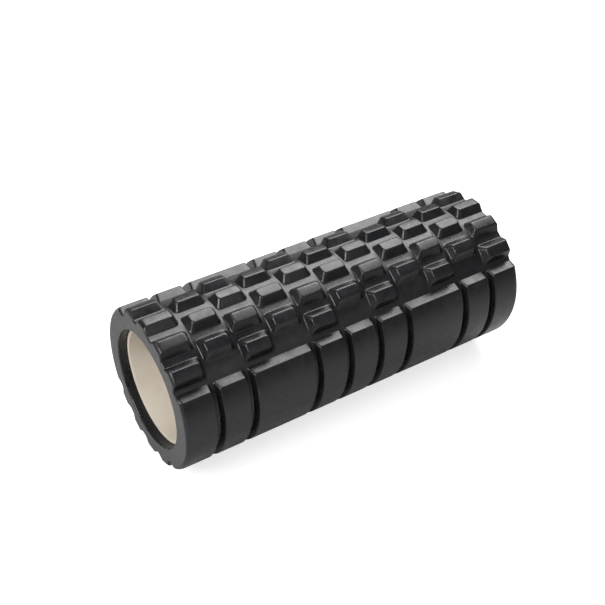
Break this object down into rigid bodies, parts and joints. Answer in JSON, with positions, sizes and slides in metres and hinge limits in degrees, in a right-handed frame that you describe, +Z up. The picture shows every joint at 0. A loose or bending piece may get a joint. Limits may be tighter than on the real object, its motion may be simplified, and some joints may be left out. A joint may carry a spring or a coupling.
{
  "type": "foam roller",
  "caption": "Hollow massage roller: a moulded foam sleeve with a tread of ribs and blocks, bonded on an open rigid tube.",
  "frame": {"origin": "middle of the roller's axis, half way along its length", "axes": "+X along the roller's axis, +Z up, with a row of block tops underneath"},
  "size_m": [0.33, 0.137, 0.137],
  "materials": {
    "sleeve_foam": "moulded closed-cell foam skin, satin black",
    "tube_plastic": "satin extruded plastic, warm pale beige",
    "glue": "cured contact cement, dull amber"
  },
  "bodies": {
    "root": {"foam_sleeve": "sleeve_foam", "core_tube": "tube_plastic", "adhesive_film": "glue"}
  },
  "joints": []
}
